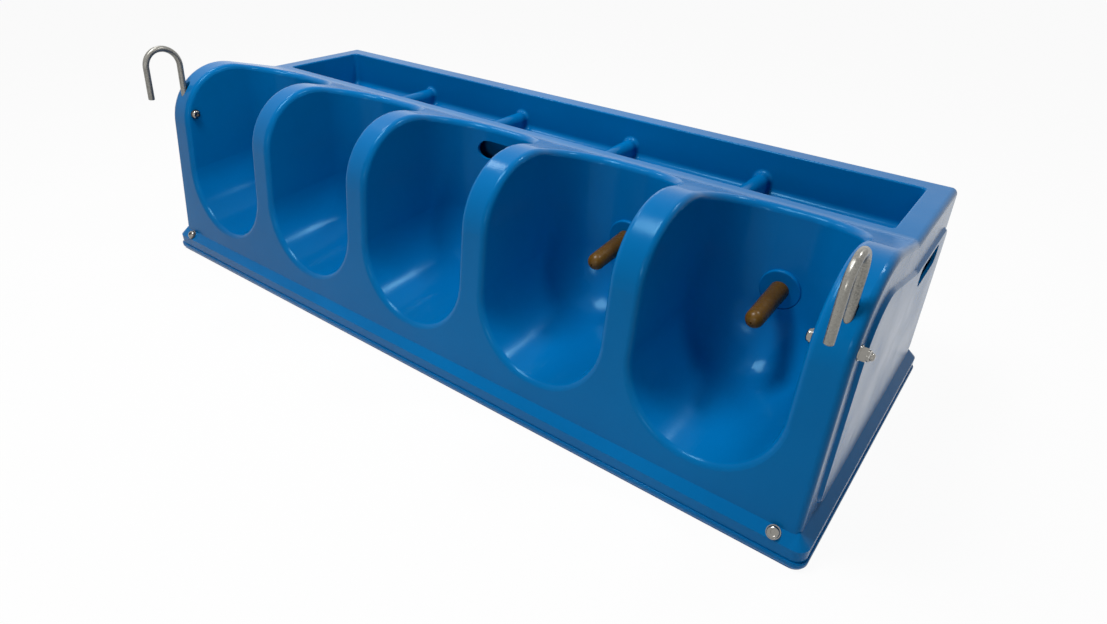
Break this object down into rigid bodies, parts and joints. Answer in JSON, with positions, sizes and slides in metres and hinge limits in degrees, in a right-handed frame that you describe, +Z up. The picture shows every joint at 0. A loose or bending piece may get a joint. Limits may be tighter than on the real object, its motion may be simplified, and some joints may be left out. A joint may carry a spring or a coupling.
{
  "type": "calf feeder",
  "caption": "Hollow moulded calf feeder with a milk trough behind its feeding bays, a rubber teat in each bay and two pivoting gate hooks.",
  "frame": {"origin": "middle of the underside of the base, on the ground", "axes": "+X along the trough to the end seen nearest, +Y from the feeding bays to the trough, +Z up"},
  "size_m": [1.5, 0.5928, 0.4506],
  "materials": {
    "body": "satin",
    "teat_rubber": "satin",
    "flap_rubber": "matte",
    "valve_plastic": "satin",
    "galvanised_steel": "matte",
    "stainless_steel": "polished",
    "spacer_steel": "satin",
    "insert_brass": "satin"
  },
  "bodies": {
    "feeder": {"feeder_body": "body", "teat_1": "teat_rubber", "valve_housing_1": "valve_plastic", "valve_flap_1": "flap_rubber", "teat_2": "teat_rubber", "valve_housing_2": "valve_plastic", "valve_flap_2": "flap_rubber", "teat_3": "teat_rubber", "valve_housing_3": "valve_plastic", "valve_flap_3": "flap_rubber", "teat_4": "teat_rubber", "valve_housing_4": "valve_plastic", "valve_flap_4": "flap_rubber", "teat_5": "teat_rubber", "valve_housing_5": "valve_plastic", "valve_flap_5": "flap_rubber", "hook_bolt_left": "stainless_steel", "hook_head_washer_left": "stainless_steel", "hook_nut_washer_left": "stainless_steel", "hook_nut_left": "stainless_steel", "hook_spacers_left": "spacer_steel", "base_screw_left": "stainless_steel", "base_washer_left": "stainless_steel", "base_insert_left": "insert_brass", "hook_bolt_right": "stainless_steel", "hook_head_washer_right": "stainless_steel", "hook_nut_washer_right": "stainless_steel", "hook_nut_right": "stainless_steel", "hook_spacers_right": "spacer_steel", "base_screw_right": "stainless_steel", "base_washer_right": "stainless_steel", "base_insert_right": "insert_brass"},
    "hook_left": {"hook_left": "galvanised_steel"},
    "hook_right": {"hook_right": "galvanised_steel"}
  },
  "joints": [
    {"name": "hook_left_pivot", "type": "hinge", "parent": "feeder", "child": "hook_left", "pos_m": [-0.703, -0.22596, 0.31198], "axis": [-1, 0, 0], "range_deg": [0, 8]},
    {"name": "hook_right_pivot", "type": "hinge", "parent": "feeder", "child": "hook_right", "pos_m": [0.703, -0.22596, 0.31198], "axis": [-1, 0, 0], "range_deg": [0, 8]}
  ]
}
